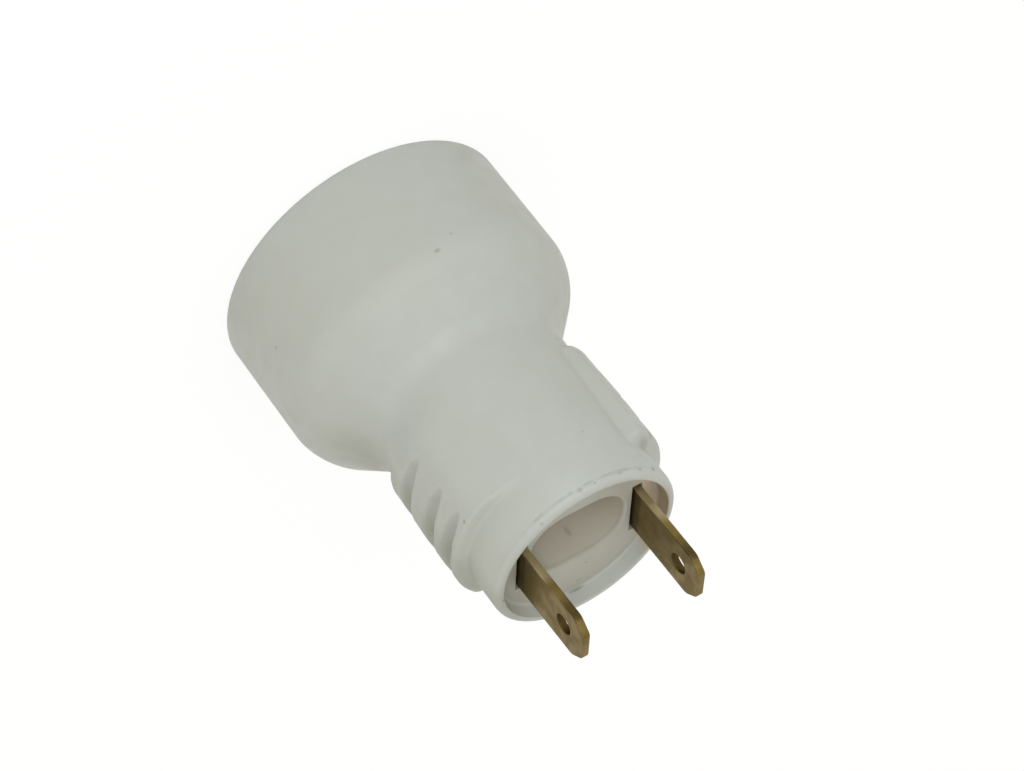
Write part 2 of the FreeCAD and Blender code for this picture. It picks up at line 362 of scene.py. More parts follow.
def near_point(tree, where, centre, reach):
    """1 at a point of the piece, fading to 0 at the reach along each axis, in mm."""
    offset = vectors(tree, "SUBTRACT", where, [c * MM for c in centre])
    shares = vectors(tree, "DIVIDE", offset, [c * MM for c in reach])
    return spread(tree, vectors(tree, "LENGTH", shares, output="Value"), *MARK_FADE)


def place_of(tree, where):
    """Sockets for X, Y, Z and the distance from the axis."""
    axes = add(tree, "ShaderNodeSeparateXYZ", {0: where}).outputs
    squares = [maths(tree, "MULTIPLY", axes[name], axes[name]) for name in "XY"]
    from_axis = maths(tree, "SQRT", maths(tree, "ADD", *squares))
    return axes["X"], axes["Y"], axes["Z"], from_axis


def plain_tone(tree, where, fine):
    """Cloudy white."""
    broad = place(tree, MOTTLE, Where=where, Size_mm=14.0, Detail=2.0)
    clean = blend(tree, broad, COOL_WHITE, WARM_WHITE)
    return blend(tree, maths(tree, "MULTIPLY", fine, FINE_STRENGTH), clean, FINE_GREY)


def painted_hollow_light(tree, toned, x, z, from_axis):
    """Painted shade with a brown cast in the recess, painted warm bounce light in the pocket,
    and a painted reflection of brass on the wall behind the -X tab.
    """
    on_nose = rise(tree, z, NOSE_HEIGHTS)
    sunk = product(
        tree, rise(tree, from_axis, RECESS_RADII), rise(tree, z, RECESS_HEIGHTS), on_nose)
    hollow_light = blend(tree, rise(tree, z, POCKET_HEIGHTS), RECESS_SHADE, POCKET_BOUNCE_LIGHT)
    hollow_shaded = blend(tree, maths(tree, "MULTIPLY", sunk, HOLLOW_LIGHT_STRENGTH), toned, hollow_light)
    # Painted reflection of the -X tab's brass on the wall behind it.
    brass_reflection = product(
        tree, rise(tree, from_axis, BRASS_REFLECTION_RADII), on_nose, rise(tree, x, BRASS_REFLECTION_X),
        HOLLOW_LIGHT_STRENGTH)
    return blend(tree, brass_reflection, hollow_shaded, BRASS_REFLECTION_TONE)


def painted_edge_and_side_shade(tree, clean, where, z, from_axis):
    """Painted shade, darker and yellower, where it is seen edge-on and on one side."""
    facing = add(tree, "ShaderNodeLayerWeight", {"Blend": FACING_BLEND}).outputs["Facing"]
    edge_on_shade = spread(tree, facing, *EDGE_ON, 0.0, EDGE_ON_SHADE_STRENGTH)
    edge_shaded = blend(tree, edge_on_shade, clean, EDGE_ON_SHADE)
    along = vectors(tree, "DOT_PRODUCT", where, SHADED_SIDE, output="Value")
    cosine = maths(tree, "DIVIDE", along, from_axis)
    side_shade_mask = spread(tree, cosine, *SHADED_SIDE_TURN, 0.0, SIDE_SHADE_STRENGTH)
    return blend(tree, product(tree, side_shade_mask, rise(tree, z, SIDE_SHADE_HEIGHTS)), edge_shaded, SIDE_SHADE)


def marks_and_shade(tree, where, y, z, from_axis):
    """Mask of the specks, the marks, the spots of painted shade and the flash on the parting
    ring.
    """
    specks = place(tree, SPECKS, Where=where, Size_mm=0.6, Rarity=0.996)
    darkened = maths(tree, "MULTIPLY", specks, SPECK_STRENGTH)
    for centre, reach, strength in MARKS_AND_SHADE:
        spot = maths(tree, "MULTIPLY", near_point(tree, where, centre, reach), strength)
        darkened = maths(tree, "MAXIMUM", darkened, spot)
    ring = product(tree, rise(tree, z, FLASH_FROM), rise(tree, z, FLASH_UNTIL))
    patchy = place(tree, MOTTLE, Where=where, Size_mm=1.1, Detail=4.0)
    flash = product(tree, ring, rise(tree, from_axis, FLASH_RADII), patchy)
    seen = product(tree, flash, rise(tree, y, FLASH_FRONT), FLASH_STRENGTH)
    return maths(tree, "MAXIMUM", darkened, seen)


def make_white_plastic():
    material, tree, shader, where = new_material(
        "white plastic", Subsurface_Weight=0.08, Subsurface_Scale=0.001, Specular_IOR_Level=0.4,
    )
    x, y, z, from_axis = place_of(tree, where)
    fine = place(tree, MOTTLE, Where=where, Size_mm=2.2, Detail=4.0)
    # Painted shade and light in the hollows and on the sides, then the marks and the spots of
    # painted shade.
    tone = painted_hollow_light(tree, plain_tone(tree, where, fine), x, z, from_axis)
    tone = painted_edge_and_side_shade(tree, tone, where, z, from_axis)
    tone = blend(tree, marks_and_shade(tree, where, y, z, from_axis), tone, DIRT_AND_SHADE)
    tree.links.new(tone, shader.inputs["Base Color"])
    tree.links.new(spread(tree, fine, 0.0, 1.0, 0.42, 0.52), shader.inputs["Roughness"])
    skin = add(tree, "ShaderNodeTexNoise", {"Vector": where, "Scale": 3.0 / MM, "Detail": 3.0})
    add_bump(tree, shader, skin.outputs["Fac"], 0.12, 0.02)
    return material


WHITE_PLASTIC = make_white_plastic()
print("white plastic has", len(MARKS_AND_SHADE), "marks")

# %% [markdown]
# ## Brass tabs
# The tabs are blanked from rolled brass strip. The faces have gone dull and
# brown, darkest where they leave the plastic, from tarnish and painted shade,
# and the edges are darkest round the tip. Fine lines run along the tabs from
# the push-on connectors, which rub the edges near the nose bright, and a
# painted highlight brightens them more. The wall of the detent hole has
# painted shade.

# %% Tones and spans of the tab brass
DULL_LIGHT = (0.215, 0.156, 0.050, 1)
DULL_DARK = (0.172, 0.122, 0.036, 1)
# Tarnish and painted shade on the faces where they leave the plastic.
TARNISH_AND_SHADE = (0.06, 0.038, 0.010, 1)
# Edges rubbed bright near the nose, brightened further with a painted highlight.
RUBBED_EDGE_AND_HIGHLIGHT = (0.46, 0.38, 0.22, 1)
DARK_EDGE = (0.06, 0.042, 0.018, 1)
# Painted shade on the wall of the detent hole.
HOLE_SHADE = (0.10, 0.068, 0.022, 1)
TARNISH_AND_SHADE_HEIGHTS = (40.7, 40.1)
FACE_HALF = (3.25, 3.0)
RUBBED_AND_HIGHLIGHT_HEIGHTS = (44.5, 42.5)
DARK_HEIGHTS = (45.0, 48.0)

# The detent hole's height, how far the lean of the tabs takes it along Y, and
# the radii round it between which the painted shade of its wall starts.
DETENT_Z = 46.85
DETENT_OFF_Y = -0.17
HOLE_SHADE_RADII = (1.18, 1.12)

# %% Tab brass


def make_tab_brass():
    material, tree, shader, where = new_material("tab brass", Metallic=1.0)
    axes = add(tree, "ShaderNodeSeparateXYZ", {0: where}).outputs
    cloud = place(tree, MOTTLE, Where=where, Size_mm=1.6, Detail=5.0)
    face = rise(tree, maths(tree, "ABSOLUTE", axes["Y"]), FACE_HALF)
    edge = maths(tree, "SUBTRACT", 1.0, face)
    tone = blend(tree, cloud, DULL_LIGHT, DULL_DARK)
    # Tarnish with painted shade near the base, rubbed edges with a painted highlight, and dark
    # edges at the tip.
    for where_on, heights, strength, colour in (
        (face, TARNISH_AND_SHADE_HEIGHTS, 0.7, TARNISH_AND_SHADE),
        (edge, RUBBED_AND_HIGHLIGHT_HEIGHTS, 0.8, RUBBED_EDGE_AND_HIGHLIGHT),
        (edge, DARK_HEIGHTS, 0.75, DARK_EDGE),
    ):
        mask = product(tree, where_on, rise(tree, axes["Z"], heights), strength)
        tone = blend(tree, mask, tone, colour)
    middle = (0, DETENT_OFF_Y * MM, DETENT_Z * MM)
    across = vectors(tree, "MULTIPLY", vectors(tree, "SUBTRACT", where, middle), (0, 1, 1))
    from_hole = vectors(tree, "LENGTH", across, output="Value")
    # Painted shade on the wall of the detent hole.
    tone = blend(tree, rise(tree, from_hole, HOLE_SHADE_RADII), tone, HOLE_SHADE)
    tree.links.new(tone, shader.inputs["Base Color"])
    tree.links.new(spread(tree, cloud, 0.0, 1.0, 0.48, 0.60), shader.inputs["Roughness"])
    lines = place(tree, HAIRLINES, Where=where, Stretch=(1.0, 1.0, 0.04), Size_mm=0.25)
    add_bump(tree, shader, lines, 0.35, 0.02)
    return material


TAB_BRASS = make_tab_brass()
print("made", TAB_BRASS.name)

# %% [markdown]
# ## Metals and fibre inside
# The screw shell is nickel-plated sheet, the contact is phosphor bronze, and
# the washer is red-brown pressed fibre. They sit deep in the bell, where only
# a look into the mouth reaches them.

# %% Inner finishes
PLATE_LIGHT = (0.62, 0.60, 0.56, 1)
PLATE_DARK = (0.50, 0.47, 0.42, 1)
BRONZE_LIGHT = (0.60, 0.38, 0.20, 1)
BRONZE_DARK = (0.48, 0.29, 0.14, 1)
FIBRE_LIGHT = (0.26, 0.085, 0.045, 1)
FIBRE_DARK = (0.18, 0.055, 0.03, 1)


def make_sheet_metal(name, light, dark, smooth, rough):
    """Rolled sheet with a mottled tone and faint lines round the axis."""
    material, tree, shader, where = new_material(name, Metallic=1.0)
    cloud = place(tree, MOTTLE, Where=where, Size_mm=2.5, Detail=4.0)
    tree.links.new(blend(tree, cloud, light, dark), shader.inputs["Base Color"])
    tree.links.new(spread(tree, cloud, 0.0, 1.0, smooth, rough), shader.inputs["Roughness"])
    lines = place(tree, HAIRLINES, Where=where, Stretch=(0.1, 0.1, 1.0), Size_mm=0.2)
    add_bump(tree, shader, lines, 0.25, 0.01)
    return material


def make_fibre():
    material, tree, shader, where = new_material("pressed fibre", Specular_IOR_Level=0.25)
    cloud = place(tree, MOTTLE, Where=where, Size_mm=0.5, Detail=6.0)
    tree.links.new(blend(tree, cloud, FIBRE_LIGHT, FIBRE_DARK), shader.inputs["Base Color"])
    tree.links.new(spread(tree, cloud, 0.0, 1.0, 0.62, 0.8), shader.inputs["Roughness"])
    add_bump(tree, shader, cloud, 0.3, 0.02)
    return material


PLATED_SHEET = make_sheet_metal("plated sheet", PLATE_LIGHT, PLATE_DARK, 0.22, 0.36)
SPRING_BRONZE = make_sheet_metal("spring bronze", BRONZE_LIGHT, BRONZE_DARK, 0.25, 0.40)
FIBRE = make_fibre()
print("inner finishes:", [m.name for m in (PLATED_SHEET, SPRING_BRONZE, FIBRE)])

# %% [markdown]
# ## Helpers for turned and cut pieces
# Most of the holder is round, so most of it starts as a chain of corners that
# is spun about the axis, like a pot on a wheel. The sharp rings are then
# bevelled, each with the rounding that the moulded piece has. Pockets and
# slots that aren't round are cut out with a block, by a Boolean.

# %% Spin and bevel
# Points closer than the first, in metres, count as one. Points closer to a ring
# than the second, in mm, count as on it.
SMALLEST = 1e-7
RING_REACH = 0.01


def spun(corners, steps):
    """Spins a chain of (radius, height) corners, in mm, about Z."""
    mesh = bmesh.new()
    chain = [mesh.verts.new((radius * MM, 0, height * MM)) for radius, height in corners]
    for first, second in zip(chain, chain[1:]):
        mesh.edges.new((first, second))
    bmesh.ops.spin(
        mesh, geom=mesh.verts[:] + mesh.edges[:], cent=(0, 0, 0), axis=(0, 0, 1),
        dvec=(0, 0, 0), angle=math.tau, steps=steps, use_merge=True,
    )
    bmesh.ops.remove_doubles(mesh, verts=mesh.verts, dist=SMALLEST)
    bmesh.ops.recalc_face_normals(mesh, faces=mesh.faces)
    return mesh


def on_ring(point, radius, height):
    """True for a vertex on the ring at that radius and height, in mm."""
    outwards = math.hypot(point.co.x, point.co.y) - radius * MM
    return math.hypot(outwards, point.co.z - height * MM) < RING_REACH * MM


def round_ring(mesh, radius, height, rounding, segments):
    """Rounds the sharp ring at a corner of the chain to a radius, in mm."""
    ring = [e for e in mesh.edges if all(on_ring(v, radius, height) for v in e.verts)]
    turn = ring[0].calc_face_angle()
    bmesh.ops.bevel(
        mesh, geom=ring, offset=rounding * MM * math.tan(turn / 2), offset_type="OFFSET",
        segments=segments, profile=0.5, affect="EDGES", material=-1, clamp_overlap=False,
    )


# %% Objects from meshes
def as_object(mesh, name, material):
    """Object at the origin from a bmesh, shaded smooth."""
    data = bpy.data.meshes.new(name)
    mesh.to_mesh(data)
    mesh.free()
    data.polygons.foreach_set("use_smooth", [True] * len(data.polygons))
    data.materials.append(material)
    piece = bpy.data.objects.new(name, data)
    bpy.context.scene.collection.objects.link(piece)
    return piece


def cut_with(piece, cutters):
    """Cuts the cutters out of the piece, and removes them."""
    for cutter in cutters:
        cut = piece.modifiers.new("cut", "BOOLEAN")
        cut.operation = "DIFFERENCE"
        cut.solver = "EXACT"
        cut.object = cutter
    graph = bpy.context.evaluated_depsgraph_get()
    result = bpy.data.meshes.new_from_object(piece.evaluated_get(graph))
    piece.modifiers.clear()
    uncut = piece.data
    piece.data = result
    bpy.data.meshes.remove(uncut)
    for cutter in cutters:
        bpy.data.objects.remove(cutter)


def block(half_x, half_y, low, high, corner, segments=8):
    """Block on the axis, in mm, with its upright edges rounded."""
    mesh = bmesh.new()
    size = Matrix.Diagonal((2 * half_x * MM, 2 * half_y * MM, (high - low) * MM, 1))
    middle = Matrix.Translation((0, 0, (low + high) / 2 * MM))
    bmesh.ops.create_cube(mesh, size=1, matrix=middle @ size)
    upright = [e for e in mesh.edges if abs(e.verts[0].co.z - e.verts[1].co.z) > SMALLEST]
    bmesh.ops.bevel(
        mesh, geom=upright, offset=corner * MM, offset_type="OFFSET", segments=segments,
        profile=0.5, affect="EDGES", material=-1, clamp_overlap=True,
    )
    return mesh


# %% [markdown]
# ## Housing
# The housing is one moulding: the bell, the cone, the neck with its two finger
# grips, and the collar and socket inside. The real one is soft all over,
# because a mould never gives a knife edge. So it is spun from its own profile,
# with generous roundings, and the neck gets fine rings whose points are then
# pushed out into the grips. Pushing points keeps the grips as soft as the
# moulded ones, which separate solids with bevels don't.

# %% Housing sizes, mm
BELL_R = 15.95
BELL_STRAIGHT = 14.1
WALL = 2.0
CONE = math.radians(42.5)
NECK_R = 10.65
NECK_START = BELL_STRAIGHT + (BELL_R - NECK_R) / math.tan(CONE)
NOSE_R = 10.25
NOSE_START = 37.4
RIM = 41.0
PARTING = 40.15
PARTING_STEP = 0.035
LIP_R = 9.3
RECESS_R = 9.15
FLOOR = 39.35
HOLLOW_R = BELL_R - WALL
HOLLOW_STRAIGHT = BELL_STRAIGHT - WALL * math.tan(CONE / 2)
COLLAR_R = 9.55
COLLAR_START = 15.0
HOLLOW_TOP = HOLLOW_STRAIGHT + (HOLLOW_R - COLLAR_R) / math.tan(CONE)
BORE_R = 7.45
LEDGE = 28.8
CHAMBER_R = 7.0
WEB = 31.8
TURN_STEPS = 320

# %% Housing turned
# Each rounding has the ring's radius and height, its own radius and its steps.
HOUSING_ROUNDINGS = (
    (RECESS_R, FLOOR, 0.35, 4),
    (LIP_R, RIM, 0.12, 4),
    (NOSE_R - PARTING_STEP, RIM, 0.7, 10),
    (NECK_R, NECK_START, 3.8, 12),
    (BELL_R, BELL_STRAIGHT, 4.8, 14),
    (BELL_R, 0, 0.5, 6),
    (HOLLOW_R, 0, 0.4, 5),
    (HOLLOW_R, HOLLOW_STRAIGHT, 2.5, 8),
    (COLLAR_R, HOLLOW_TOP, 0.5, 4),
    (COLLAR_R, COLLAR_START, 0.3, 3),
    (BORE_R, COLLAR_START, 0.12, 2),
)
housing_mesh = spun([
    (0, FLOOR), (RECESS_R, FLOOR), (LIP_R, RIM), (NOSE_R - PARTING_STEP, RIM),
    (NOSE_R - PARTING_STEP, PARTING), (NOSE_R, PARTING - PARTING_STEP), (NOSE_R, NOSE_START),
    (NECK_R, NECK_START), (BELL_R, BELL_STRAIGHT), (BELL_R, 0), (HOLLOW_R, 0),
    (HOLLOW_R, HOLLOW_STRAIGHT), (COLLAR_R, HOLLOW_TOP), (COLLAR_R, COLLAR_START),
    (BORE_R, COLLAR_START), (BORE_R, LEDGE), (CHAMBER_R, LEDGE), (CHAMBER_R, WEB), (0, WEB),
], TURN_STEPS)
for radius, height, rounding, segments in HOUSING_ROUNDINGS:
    round_ring(housing_mesh, radius, height, rounding, segments)
print("turned housing has", len(housing_mesh.faces), "faces")

# %% [markdown]
# ### Finger grips
# Each grip is a pad that swells out of the neck over a slope at both ends. One
# side of it is a crisp sloping strip, and the other fades into the neck. Three
# grooves cross it. A groove is straight and the neck is round, so it runs out
# to a point at each side, like a leaf. The same happens here: each point goes
# out to the pad's radius or to the straight groove's floor, whichever is nearer
# to the axis, with a soft change between the two.

# %% Grip sizes, mm
# Where a size differs between the two grips, -1 is the one on the -X side. Pairs
# are the start and the end of a change along Y or Z. A groove has its height and
# the radius that its floor is curved to.
GRIP_LOW_R = 11.4
GRIP_HIGH_R = 11.62
GRIP_GROWTH = (24.0, 31.0)
CRISP_SIDE = (6.8, 7.5)
SOFT_SIDE = (5.6, 9.8)
SIDE_CHANGE = (-6, 6)
CRISP_RISES = {-1: (23.4, 24.6), 1: (22.7, 24.0)}
SOFT_RISE = (21.4, 26.0)
GRIP_DROPS = {-1: (36.1, 37.1), 1: (35.5, 36.15)}
GROOVES = ((26.7, 0.42), (30.9, 0.40), (34.0, 0.38))
GROOVE_FLOOR = 10.2
GROOVE_SOFT = 0.12
GROOVE_FACING = 0.5
OUTSIDE_R = 10.0
NECK_BAND = (21.0, NOSE_START + 0.01)
TALL_EDGE = 5
NECK_RINGS = 84

# %% Grips


def eased(value, low, high):
    """0 below low, 1 above high, and smooth between."""
    share = min(max((value - low) / (high - low), 0.0), 1.0)
    return share * share * (3 - 2 * share)


def softer_of(first, second, soft):
    """The smaller of two values, rounded off where they cross."""
    share = min(max(0.5 + 0.5 * (second - first) / soft, 0.0), 1.0)
    return second + (first - second) * share - soft * share * (1 - share)


def pad_share(x, y, z):
    """How far the pad stands out at a point: 0 on the bare neck, 1 on the pad."""
    side = 1 if x > 0 else -1
    crisp = eased(x * y, *SIDE_CHANGE)
    top, foot = CRISP_SIDE
    steep = min(max((foot - abs(y)) / (foot - top), 0), 1)
    gentle = 1 - eased(abs(y), *SOFT_SIDE)
    hard = crisp * steep * eased(z, *CRISP_RISES[side])
    both = hard + (1 - crisp) * gentle * eased(z, *SOFT_RISE)
    return both * (1 - eased(z, *GRIP_DROPS[side]))


def grip_radius(x, y, z, neck_radius):
    """Radius of the neck's surface, in mm, with the pads and their grooves."""
    pad = GRIP_LOW_R + (GRIP_HIGH_R - GRIP_LOW_R) * eased(z, *GRIP_GROWTH)
    radius = neck_radius + (pad - neck_radius) * pad_share(x, y, z)
    facing = abs(x) / math.hypot(x, y)
    for height, size in GROOVES:
        floor = GROOVE_FLOOR + (z - height) ** 2 / (2 * size)
        if facing > GROOVE_FACING and floor < GRIP_HIGH_R + 1:
            radius = softer_of(radius, floor / facing, GROOVE_SOFT)
    return max(radius, neck_radius)


def ring_radius(point):
    """Distance of a vertex from the axis, in mm."""
    return math.hypot(point.co.x, point.co.y) / MM


def is_tall(edge):
    """True for an edge that still spans a whole straight wall."""
    return abs(edge.verts[0].co.z - edge.verts[1].co.z) > TALL_EDGE * MM


def add_grips(mesh):
    """Fine rings on the neck, pushed out into the two pads."""
    low, high = NECK_BAND
    neck = [
        e for e in mesh.edges if is_tall(e) and all(
            low * MM < v.co.z < high * MM and ring_radius(v) > OUTSIDE_R for v in e.verts)
    ]
    bmesh.ops.subdivide_edges(mesh, edges=neck, cuts=NECK_RINGS, use_grid_fill=True)
    moved = 0
    for point in mesh.verts:
        x, y, z = (c / MM for c in point.co)
        radius = math.hypot(x, y)
        if SOFT_RISE[0] < z < GRIP_DROPS[-1][1] and radius > OUTSIDE_R:
            out = grip_radius(x, y, z, radius) / radius
            point.co.x *= out
            point.co.y *= out
            moved += out > 1
    print("pushed out", moved, "points for the grips")


add_grips(housing_mesh)

# %% [markdown]
# ### Pocket, slots and channel
# The pocket between the tabs has a soft lip, so its cutter is a rounded block
# whose top face is extruded upwards and widened in small steps along a quarter
# circle. The slots that hold the tabs are made the same way, and a plain block
# opens the contact chamber for the ends of the tabs.

# %% Cutters
POCKET_HALF = (5.25, 4.1)
POCKET_OFF = -0.45
POCKET_FLOOR = 34.3
POCKET_CORNER = 3.7
POCKET_LIP = 0.4
POCKET_FLOOR_ROUND = 0.5
TAB_X = 6.55
TAB_THICK = 0.8
TAB_WIDTH = 6.3
SLOT_SIDE_GAP = 0.15
SLOT_END_GAP = 0.6
SLOT_CORNER = 0.12
SLOT_LIP = 0.08
CHANNEL_HALF = (7.1, 3.3)
CHANNEL_CORNER = 0.1
CUT_PAST = 0.5
TAB_SHIFTS = {-1: (-0.06, -0.08), 1: (-0.2, -0.08)}
LIP_STEPS = 6
LEVEL = 0.99999


def raised(mesh, top):
    """Extrudes the top face in place of the old one, and returns the new one."""
    made = bmesh.ops.extrude_face_region(mesh, geom=[top])["geom"]
    bmesh.ops.delete(mesh, geom=[top], context="FACES_ONLY")
    return next(item for item in made if isinstance(item, bmesh.types.BMFace))


def lipped_block(half_x, half_y, low, high, corner, lip):
    """Block for cutting a hole whose top edge is rounded outwards."""
    mesh = block(half_x, half_y, low, high - lip, corner, 12)
    top = max(mesh.faces, key=lambda face: face.calc_center_median().z)
    wide, deep = half_x, half_y
    for step in range(1, LIP_STEPS + 1):
        turn = math.pi / 2 * step / LIP_STEPS
        level = high - lip + lip * math.sin(turn)
        out = lip * (1 - math.cos(turn))
        top = raised(mesh, top)
        bmesh.ops.scale(
            mesh, verts=top.verts, vec=((half_x + out) / wide, (half_y + out) / deep, 1))
        bmesh.ops.translate(
            mesh, verts=top.verts, vec=(0, 0, level * MM - top.verts[0].co.z))
        wide, deep = half_x + out, half_y + out
    top = raised(mesh, top)
    bmesh.ops.translate(mesh, verts=top.verts, vec=(0, 0, CUT_PAST * MM))
    bmesh.ops.recalc_face_normals(mesh, faces=mesh.faces)
    return mesh


def round_floor(mesh, low, rounding):
    """Rounds the bottom edge of a cutter."""
    bottom = [e for e in mesh.edges if all(abs(v.co.z - low * MM) < SMALLEST for v in e.verts)]
    bmesh.ops.bevel(
        mesh, geom=bottom, offset=rounding * MM, offset_type="OFFSET", segments=6,
        profile=0.5, affect="EDGES", material=-1, clamp_overlap=True,
    )


def slot_cutter(side):
    """Cutter for the slot of one tab."""
    mesh = lipped_block(
        TAB_THICK / 2 + SLOT_SIDE_GAP, TAB_WIDTH / 2 + SLOT_END_GAP,
        WEB - CUT_PAST, FLOOR, SLOT_CORNER, SLOT_LIP,
    )
    shift_x, shift_y = TAB_SHIFTS[side]
    bmesh.ops.translate(
        mesh, verts=mesh.verts, vec=((side * TAB_X + shift_x) * MM, shift_y * MM, 0))
    return mesh


# %% Housing cut
pocket = lipped_block(*POCKET_HALF, POCKET_FLOOR, FLOOR, POCKET_CORNER, POCKET_LIP)
round_floor(pocket, POCKET_FLOOR, POCKET_FLOOR_ROUND)
bmesh.ops.translate(pocket, verts=pocket.verts, vec=(0, POCKET_OFF * MM, 0))
channel = block(*CHANNEL_HALF, COLLAR_START - CUT_PAST, WEB, CHANNEL_CORNER, 2)
housing = as_object(housing_mesh, "moulded_housing", WHITE_PLASTIC)
cut_with(housing, [
    as_object(mesh, "cutter", WHITE_PLASTIC)
    for mesh in (pocket, slot_cutter(-1), slot_cutter(1), channel)
])

# The flat faces stay flat-shaded, so that no light bends across them.
flat = [abs(face.normal.z) > LEVEL for face in housing.data.polygons]
housing.data.polygons.foreach_set("use_smooth", [not level for level in flat])
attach(housing, "holder")
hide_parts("housing")
print("housing has", len(housing.data.polygons), "faces")

# %% [markdown]
# ## Rolled screw shell
# The real shell is drawn from thin sheet, and the lamp's round thread is rolled
# into its wall, so inside and outside are parallel waves. A spun wall with
# close rings is pushed in along a helix that climbs one pitch a turn, and the
# sheet gets its thickness last, so the thickness stays even.

# %% Screw shell
SHEET = 0.3
SHELL_R = 7.0
SHELL_LOW = 14.65
SHELL_LIP_R = 8.6
SHELL_TOP = 27.8
SHELL_HOLE_R = 5.6
PITCH = 2.822
THREAD_DEPTH = 0.8
THREAD_IN = (15.6, 17.0)
THREAD_OUT = (25.6, 27.0)
SHELL_LIP_ROUND = 0.5
SHELL_TOP_ROUND = 0.4
SHELL_STEPS = 144
WALL_RINGS = 72


def roll_thread(mesh):
    """Pushes the points of the wall in along a right-handed helix."""
    for point in mesh.verts:
        x, y, z = (c / MM for c in point.co)
        radius = math.hypot(x, y)
        if THREAD_IN[0] < z < THREAD_OUT[1] and radius > SHELL_R - SHEET:
            wave = (1 - math.cos(math.tau * z / PITCH - math.atan2(y, x))) / 2
            depth = THREAD_DEPTH * wave * eased(z, *THREAD_IN) * (1 - eased(z, *THREAD_OUT))
            share = (radius - depth) / radius
            point.co.x *= share
            point.co.y *= share


shell_mesh = spun([
    (SHELL_LIP_R, SHELL_LOW), (SHELL_R, SHELL_LOW),
    (SHELL_R, SHELL_TOP - SHEET), (SHELL_HOLE_R, SHELL_TOP - SHEET),
], SHELL_STEPS)
round_ring(shell_mesh, SHELL_R, SHELL_LOW, SHELL_LIP_ROUND, 5)
round_ring(shell_mesh, SHELL_R, SHELL_TOP - SHEET, SHELL_TOP_ROUND, 5)
wall = [e for e in shell_mesh.edges if is_tall(e)]
bmesh.ops.subdivide_edges(shell_mesh, edges=wall, cuts=WALL_RINGS, use_grid_fill=True)
roll_thread(shell_mesh)
bmesh.ops.recalc_face_normals(shell_mesh, faces=shell_mesh.faces)
bmesh.ops.solidify(shell_mesh, geom=shell_mesh.faces[:], thickness=SHEET * MM)
shell = as_object(shell_mesh, "rolled_screw_shell", PLATED_SHEET)
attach(shell, "holder")
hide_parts("screw_shell")
shell_box = [max(v.co[i] for v in shell.data.vertices) / MM for i in range(3)]
print("screw shell reaches, mm:", [round(c, 2) for c in shell_box])

# %% [markdown]
# ## Tabs
# A press blanks the tabs out of strip, and that rounds one edge of the sheet
# and coins the other, so none of the edges is sharp. Each tab starts as its
# flat outline, is extruded to the sheet's thickness, gets its detent hole from
# a round cutter, and has all its edges rounded by one bevel. Pressed home by
# hand, both tabs sit a little off the middle and lean the same way.

# %% Tabs
TAB_TAIL_Z = 29.0
TAB_TIP_Z = 50.05
TAB_TIP_HALF = 1.85
TAB_TAPER = 1.55
TIP_ROUND = 0.35
DETENT_R = 1.1
TAB_LEAN = (-0.014, -0.006)
SHEAR_ROUND = 0.11
SHARP_TURN = math.radians(60)
BROAD = 0.99


def tab_blank(side):
    """Flat blank of one tab, extruded to its thickness."""
    mesh = bmesh.new()
    half = TAB_WIDTH / 2
    shoulder = TAB_TIP_Z - TAB_TAPER
    x = (side * TAB_X - TAB_THICK / 2) * MM
    outline = (
        (-half, TAB_TAIL_Z), (half, TAB_TAIL_Z), (half, shoulder),
        (TAB_TIP_HALF, TAB_TIP_Z), (-TAB_TIP_HALF, TAB_TIP_Z), (-half, shoulder),
    )
    face = mesh.faces.new([mesh.verts.new((x, y * MM, z * MM)) for y, z in outline])
    corners = [v for v in face.verts if v.co.z > shoulder * MM - SMALLEST]
    bmesh.ops.bevel(
        mesh, geom=corners, offset=TIP_ROUND * MM, offset_type="OFFSET", segments=4,
        profile=0.5, affect="VERTICES", material=-1, clamp_overlap=True,
    )
    made = bmesh.ops.extrude_face_region(mesh, geom=mesh.faces[:])["geom"]
    moved = [item for item in made if isinstance(item, bmesh.types.BMVert)]
    bmesh.ops.translate(mesh, verts=moved, vec=(TAB_THICK * MM, 0, 0))
    bmesh.ops.recalc_face_normals(mesh, faces=mesh.faces)
    return mesh


def detent_cutter(side):
    """Round cutter across the tab, below its tip."""
    mesh = bmesh.new()
    centre = Matrix.Translation((side * TAB_X * MM, 0, DETENT_Z * MM))
    bmesh.ops.create_cone(
        mesh, cap_ends=True, segments=48, radius1=DETENT_R * MM, radius2=DETENT_R * MM,
        depth=3 * TAB_THICK * MM, matrix=centre @ Matrix.Rotation(math.pi / 2, 4, "Y"),
    )
    return as_object(mesh, "detent", TAB_BRASS)


def make_tab(side, name, node_name):
    """One tab with its edges rounded, set in its slot."""
    tab = as_object(tab_blank(side), name, TAB_BRASS)
    cut_with(tab, [detent_cutter(side)])
    mesh = bmesh.new()
    mesh.from_mesh(tab.data)
    sharp = [e for e in mesh.edges if e.is_manifold and e.calc_face_angle() > SHARP_TURN]
    bmesh.ops.bevel(
        mesh, geom=sharp, offset=SHEAR_ROUND * MM, offset_type="OFFSET", segments=3,
        profile=0.5, affect="EDGES", material=-1, clamp_overlap=True,
    )
    shift_x, shift_y = TAB_SHIFTS[side]
    lean_x, lean_y = TAB_LEAN
    for point in mesh.verts:
        up = max(point.co.z - WEB * MM, 0)
        point.co.x += shift_x * MM * (up > 0) + lean_x * up
        point.co.y += shift_y * MM * (up > 0) + lean_y * up
    mesh.to_mesh(tab.data)
    mesh.free()
    broad = [abs(face.normal.x) > BROAD for face in tab.data.polygons]
    tab.data.polygons.foreach_set("use_smooth", [not level for level in broad])
    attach(tab, "holder")
    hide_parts(node_name)
    print(name, "has", len(tab.data.polygons), "faces")


make_tab(-1, "shell_tab", "shell_terminal")
make_tab(1, "centre_tab", "centre_terminal")

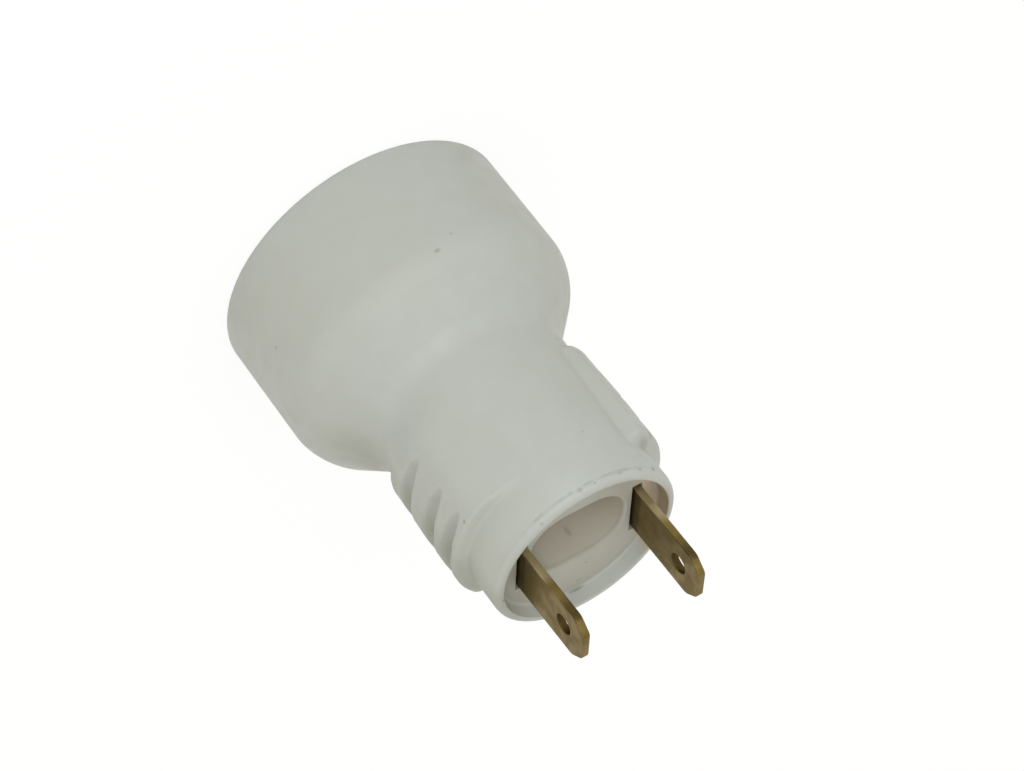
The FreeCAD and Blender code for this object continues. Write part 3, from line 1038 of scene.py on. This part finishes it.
# %% Finishes of the pieces that stay as they are
FINISHES = {
    "insulating_washer": FIBRE,
    "centre_contact": SPRING_BRONZE,
}
for node_name, material in FINISHES.items():
    slots = nodes[node_name].data.materials
    slots.clear()
    slots.append(material)
    print(node_name, "is", material.name)

# %% [markdown]
# ## Floor, world and lamps
# The floor is plain and pale. For a ray that comes from the camera, or from a
# shiny surface, most of it glows a plain white, and the rest takes the shadow.
# It lies a hair below the mouth, so that the two don't share one plane. One
# large cool lamp stands in front, like a window, a weak one fills in from the
# side, and the world gives a slightly warm light from all round.

# %% Floor
FLOOR_SIZE = 3.0
FLOOR_DROP = 0.05
PAPER = (0.80, 0.80, 0.79, 1)
PURE_WHITE = (1, 1, 1, 1)
GLOW_STRENGTH = 1.08
GLOW_SHARE = 0.82


def seen_directly(tree):
    """1 for camera, mirror and glass rays, else 0."""
    rays = tree.nodes.new("ShaderNodeLightPath").outputs
    shiny = maths(tree, "ADD", rays["Is Glossy Ray"], rays["Is Transmission Ray"])
    return maths(tree, "ADD", rays["Is Camera Ray"], shiny, clamp=True)


mesh = bmesh.new()
bmesh.ops.create_grid(mesh, x_segments=1, y_segments=1, size=FLOOR_SIZE / 2)
bmesh.ops.translate(mesh, verts=mesh.verts, vec=(0, 0, -FLOOR_DROP * MM))
floor_mesh = bpy.data.meshes.new("floor")
mesh.to_mesh(floor_mesh)
mesh.free()
floor = bpy.data.objects.new("floor", floor_mesh)
bpy.context.scene.collection.objects.link(floor)
paper, tree, shader, _ = new_material(
    "pale paper", Base_Color=PAPER, Roughness=0.9, Specular_IOR_Level=0.1)
glow = add(tree, "ShaderNodeEmission", {"Color": PURE_WHITE, "Strength": GLOW_STRENGTH})
share = maths(tree, "MULTIPLY", seen_directly(tree), GLOW_SHARE)
mix = add(tree, "ShaderNodeMixShader", {"Fac": share})
tree.links.new(shader.outputs[0], mix.inputs[1])
tree.links.new(glow.outputs[0], mix.inputs[2])
tree.links.new(mix.outputs[0], tree.nodes["Material Output"].inputs["Surface"])
floor.data.materials.append(paper)
print("floor", FLOOR_SIZE, "m wide, of which", GLOW_SHARE, "glows")

# %% World
ROOM_TONE = (1.0, 0.98, 0.89, 1)
ROOM_STRENGTH = 0.72
world = bpy.data.worlds.new("room")
bpy.context.scene.world = world
world.use_nodes = True
tree = world.node_tree
background = tree.nodes["Background"]
background.inputs["Color"].default_value = ROOM_TONE
background.inputs["Strength"].default_value = ROOM_STRENGTH
white = add(tree, "ShaderNodeBackground", {"Color": PURE_WHITE, "Strength": 1.0})
mix = add(tree, "ShaderNodeMixShader", {"Fac": seen_directly(tree)})
tree.links.new(background.outputs[0], mix.inputs[1])
tree.links.new(white.outputs[0], mix.inputs[2])
tree.links.new(mix.outputs[0], tree.nodes["World Output"].inputs["Surface"])
print("room light of strength", ROOM_STRENGTH)

# %% Lamps
# Each lamp has a place and a size in metres, a strength in watts and a tone.
LAMPS = {
    "window": ((0.16, -0.72, 0.40), 0.55, 2.3, (0.88, 0.96, 1.0)),
    "side fill": ((0.78, -0.30, 0.05), 0.60, 0.35, (1.0, 0.98, 0.93)),
}
LAMP_TARGET = Vector((0, 0, 0.02))

for name, (spot, size, watts, tone) in LAMPS.items():
    data = bpy.data.lights.new(name, "AREA")
    data.size = size
    data.energy = watts
    data.color = tone
    lamp = bpy.data.objects.new(name, data)
    bpy.context.scene.collection.objects.link(lamp)
    lamp.matrix_world = aimed(Vector(spot), LAMP_TARGET)
    print(name, "lamp of", watts, "W")

bpy.context.scene.view_settings.view_transform = "Standard"
